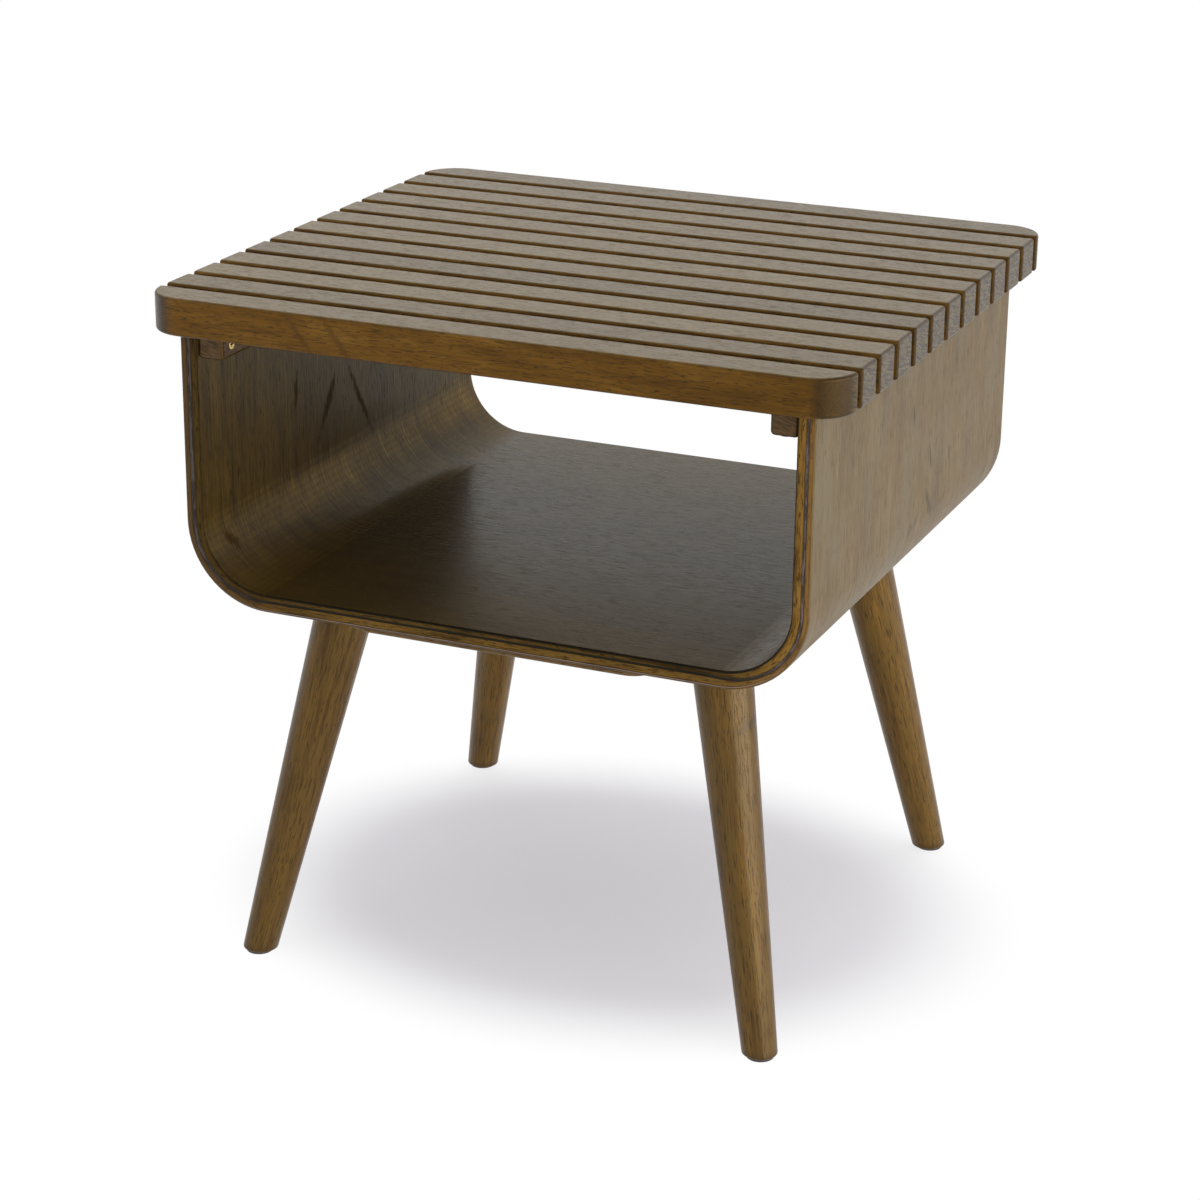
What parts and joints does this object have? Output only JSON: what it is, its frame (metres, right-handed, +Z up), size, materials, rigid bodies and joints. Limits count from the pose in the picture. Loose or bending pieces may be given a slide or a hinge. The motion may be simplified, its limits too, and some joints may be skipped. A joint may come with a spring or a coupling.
{
  "type": "side table",
  "caption": "Square side table with a slatted wooden top, an open shelf of bent plywood under it and round tapered splayed legs.",
  "frame": {"origin": "on the floor under the middle of the top", "axes": "+X along the slats to the table's right, the open front faces -Y, +Z up"},
  "size_m": [0.5, 0.4544, 0.494],
  "materials": {
    "top_wood": "walnut brown stain, satin lacquer",
    "cleat_wood": "walnut brown stain, satin lacquer",
    "shelf_plywood": "walnut brown veneer, satin lacquer; layered golden edges",
    "panel_plywood": "walnut brown stain, satin lacquer",
    "leg_wood": "walnut brown stain, satin lacquer",
    "glide_plastic": "matte",
    "steel": "zinc plated",
    "brass": "plain"
  },
  "bodies": {
    "root": {"slat_01": "top_wood", "slat_02": "top_wood", "slat_03": "top_wood", "slat_04": "top_wood", "slat_05": "top_wood", "slat_06": "top_wood", "slat_07": "top_wood", "slat_08": "top_wood", "slat_09": "top_wood", "slat_10": "top_wood", "slat_11": "top_wood", "slat_12": "top_wood", "slat_13": "top_wood", "cleat_left": "cleat_wood", "cleat_right": "cleat_wood", "bent_shell": "shelf_plywood", "under_panel": "panel_plywood", "leg_front_left": "leg_wood", "leg_front_right": "leg_wood", "leg_rear_left": "leg_wood", "leg_rear_right": "leg_wood", "glide_front_left": "glide_plastic", "glide_front_right": "glide_plastic", "glide_rear_left": "glide_plastic", "glide_rear_right": "glide_plastic", "leg_inserts": "steel", "hanger_bolts": "steel", "slat_screws": "steel", "cleat_screws": "brass", "under_panel_screws": "steel"}
  },
  "joints": []
}
